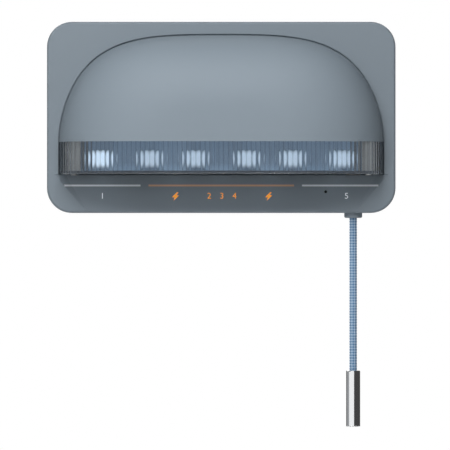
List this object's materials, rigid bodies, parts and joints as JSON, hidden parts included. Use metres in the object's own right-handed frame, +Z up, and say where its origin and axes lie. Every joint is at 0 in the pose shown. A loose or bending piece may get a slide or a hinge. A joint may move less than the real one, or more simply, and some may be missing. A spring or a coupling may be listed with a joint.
{
  "type": "uv toothbrush sterilizer",
  "caption": "Wall-hung sterilizer for toothbrush heads: domed hood, clear reeded window band, open underside with keyholes, and a pull cord with a steel weight.",
  "frame": {"origin": "middle of the adhesive pad's wall face, level with the middle of the casing", "axes": "+Z up, +X to the right seen from the front, +Y into the wall, so the front looks along -Y"},
  "size_m": [0.217, 0.056, 0.2522],
  "materials": {
    "casing_grey": "satin, fine spark texture",
    "wall_plate_grey": "moulded ABS",
    "foam_tape": "acrylic foam tape",
    "clear_window": "clear moulded, reeded outside",
    "liner_white": "glossy reflective white",
    "tray_dark": "fine texture",
    "board_green": "solder mask",
    "lamp_chip": "lamp package",
    "lamp_glass": "frosted, lit pale blue",
    "component_black": "moulded epoxy",
    "cell_wrap": "shrink sleeve",
    "inner_black": "moulded ABS",
    "socket_steel": "plated shell",
    "smoked_lens": "smoked",
    "acetal_white": "moulded acetal",
    "spring_steel": "drawn wire",
    "screw_steel": "zinc plated",
    "ferrule_brass": "crimped",
    "cord_braid": "braided polyester, two blues",
    "weight_steel": "polished steel"
  },
  "bodies": {
    "wall_mount": {"wall_plate": "wall_plate_grey", "adhesive_pad": "foam_tape"},
    "unit": {"front_housing": "casing_grey", "rear_cover": "casing_grey", "dome_cover": "casing_grey", "reeded_window": "clear_window", "chamber_liner": "liner_white", "brush_tray": "tray_dark", "led_board": "board_green", "uv_leds": "lamp_chip", "lamp_windows": "lamp_glass", "main_board": "board_green", "board_components": "component_black", "battery_cell": "cell_wrap", "battery_cradle": "inner_black", "charge_board": "board_green", "charge_socket": "socket_steel", "switch_board": "board_green", "indicator_led": "lamp_chip", "indicator_lens": "smoked_lens", "detector_switch": "component_black", "cord_bushing": "casing_grey", "switch_guide": "acetal_white", "return_spring": "spring_steel", "rear_screws": "screw_steel", "hood_screws": "screw_steel", "board_screws": "screw_steel", "chamber_screws": "screw_steel"},
    "puller": {"pull_slider": "acetal_white", "cord_ferrule": "ferrule_brass", "cord_inner_end": "cord_braid"},
    "switch_arm": {"switch_lever": "acetal_white"},
    "hanging_cord": {"pull_cord": "cord_braid", "pull_weight": "weight_steel"}
  },
  "joints": [
    {"name": "unit_lift", "type": "slide", "parent": "wall_mount", "child": "unit", "axis": [0, 0, 1], "range_m": [0, 0.008]},
    {"name": "cord_pull", "type": "slide", "parent": "unit", "child": "puller", "axis": [0, 0, -1], "range_m": [0, 0.005], "stiffness_N_per_m": 600, "springref_m": -0.004, "deforming": ["return_spring"]},
    {"name": "switch_swing", "type": "hinge", "parent": "unit", "child": "switch_arm", "pos_m": [0.0645, -0.0086, -0.041], "axis": [0, 1, 0], "range_deg": [0, 28]},
    {"name": "cord_swing", "type": "hinge", "parent": "puller", "child": "hanging_cord", "pos_m": [0.0823, -0.0086, -0.0626], "axis": [0, 1, 0], "range_deg": [-35, 35]}
  ],
  "couplings": [
    {"joint": "switch_swing", "follows": "cord_pull", "rad_per_m": 96.6}
  ]
}
